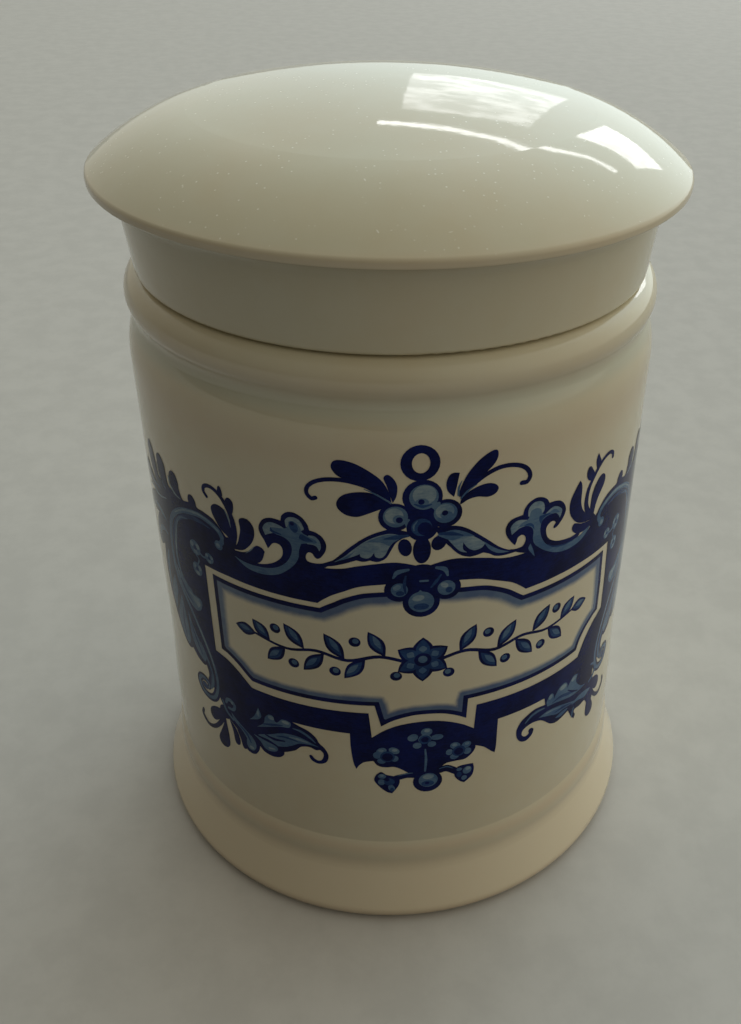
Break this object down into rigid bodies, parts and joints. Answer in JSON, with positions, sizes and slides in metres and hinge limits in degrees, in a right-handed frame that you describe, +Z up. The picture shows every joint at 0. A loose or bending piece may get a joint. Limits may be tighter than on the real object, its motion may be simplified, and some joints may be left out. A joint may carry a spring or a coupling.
{
  "type": "apothecary jar",
  "caption": "Lidded cylindrical glazed ceramic storage jar with a spread foot, a rounded lip and a low domed lift-off lid, with a blue ornamental panel on its front.",
  "frame": {"origin": "centre of the foot ring's underside, on the surface the jar stands on", "axes": "+Z up along the turning axis; the ornamental panel faces -Y"},
  "size_m": [0.1044, 0.1044, 0.1496],
  "materials": {
    "jar_glaze": "gloss, warm cream tin-style glaze",
    "lid_glaze": "gloss, cream glaze, slightly greener than the jar's",
    "cobalt_dark": "gloss, dark cobalt under the glaze",
    "cobalt_mid": "gloss, mid cobalt wash under the glaze",
    "cobalt_pale": "gloss, pale cobalt wash under the glaze",
    "panel_cream": "gloss, cream panel with a thin blue wash along its edge"
  },
  "bodies": {
    "jar": {"jar_body": "jar_glaze"},
    "lid": {"lid": "lid_glaze"}
  },
  "joints": [
    {"name": "lid_lift", "type": "slide", "parent": "jar", "child": "lid", "axis": [0, 0, 1], "range_m": [0, 0.06]}
  ]
}
